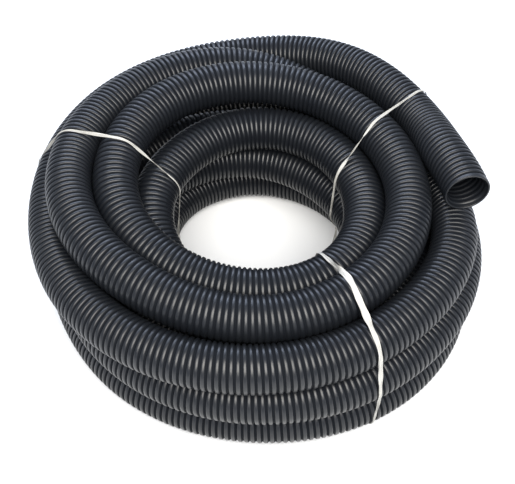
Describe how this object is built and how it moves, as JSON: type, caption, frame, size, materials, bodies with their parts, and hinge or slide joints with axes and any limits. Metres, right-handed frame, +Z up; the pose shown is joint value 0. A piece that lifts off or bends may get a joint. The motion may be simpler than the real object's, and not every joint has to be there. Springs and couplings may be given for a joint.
{
  "type": "vacuum hose",
  "caption": "Flexible corrugated plastic pool vacuum hose, wound into a storage coil with plain open ends and tied with flat raffia tape.",
  "frame": {"origin": "middle of the underside of the coil, on the surface that it lies on", "axes": "+Z up, -Y towards the front of the coil, +X towards the open free end; the coil lies flat, with its eye upright"},
  "size_m": [0.477, 0.4894, 0.1847],
  "materials": {
    "black_plastic": "semi-gloss blow-formed polyethylene",
    "raffia_white": "soft sheen, slightly see-through film tape"
  },
  "bodies": {
    "root": {"hose_free_end": "black_plastic", "hose_turn_1": "black_plastic", "hose_turn_2": "black_plastic", "hose_turn_3": "black_plastic", "hose_turn_4": "black_plastic", "hose_turn_5": "black_plastic", "hose_turn_6": "black_plastic", "hose_turn_7": "black_plastic", "hose_turn_8": "black_plastic", "hose_turn_9": "black_plastic", "hose_inner_end": "black_plastic", "tie_front": "raffia_white", "tie_left": "raffia_white", "tie_right": "raffia_white"}
  },
  "joints": []
}
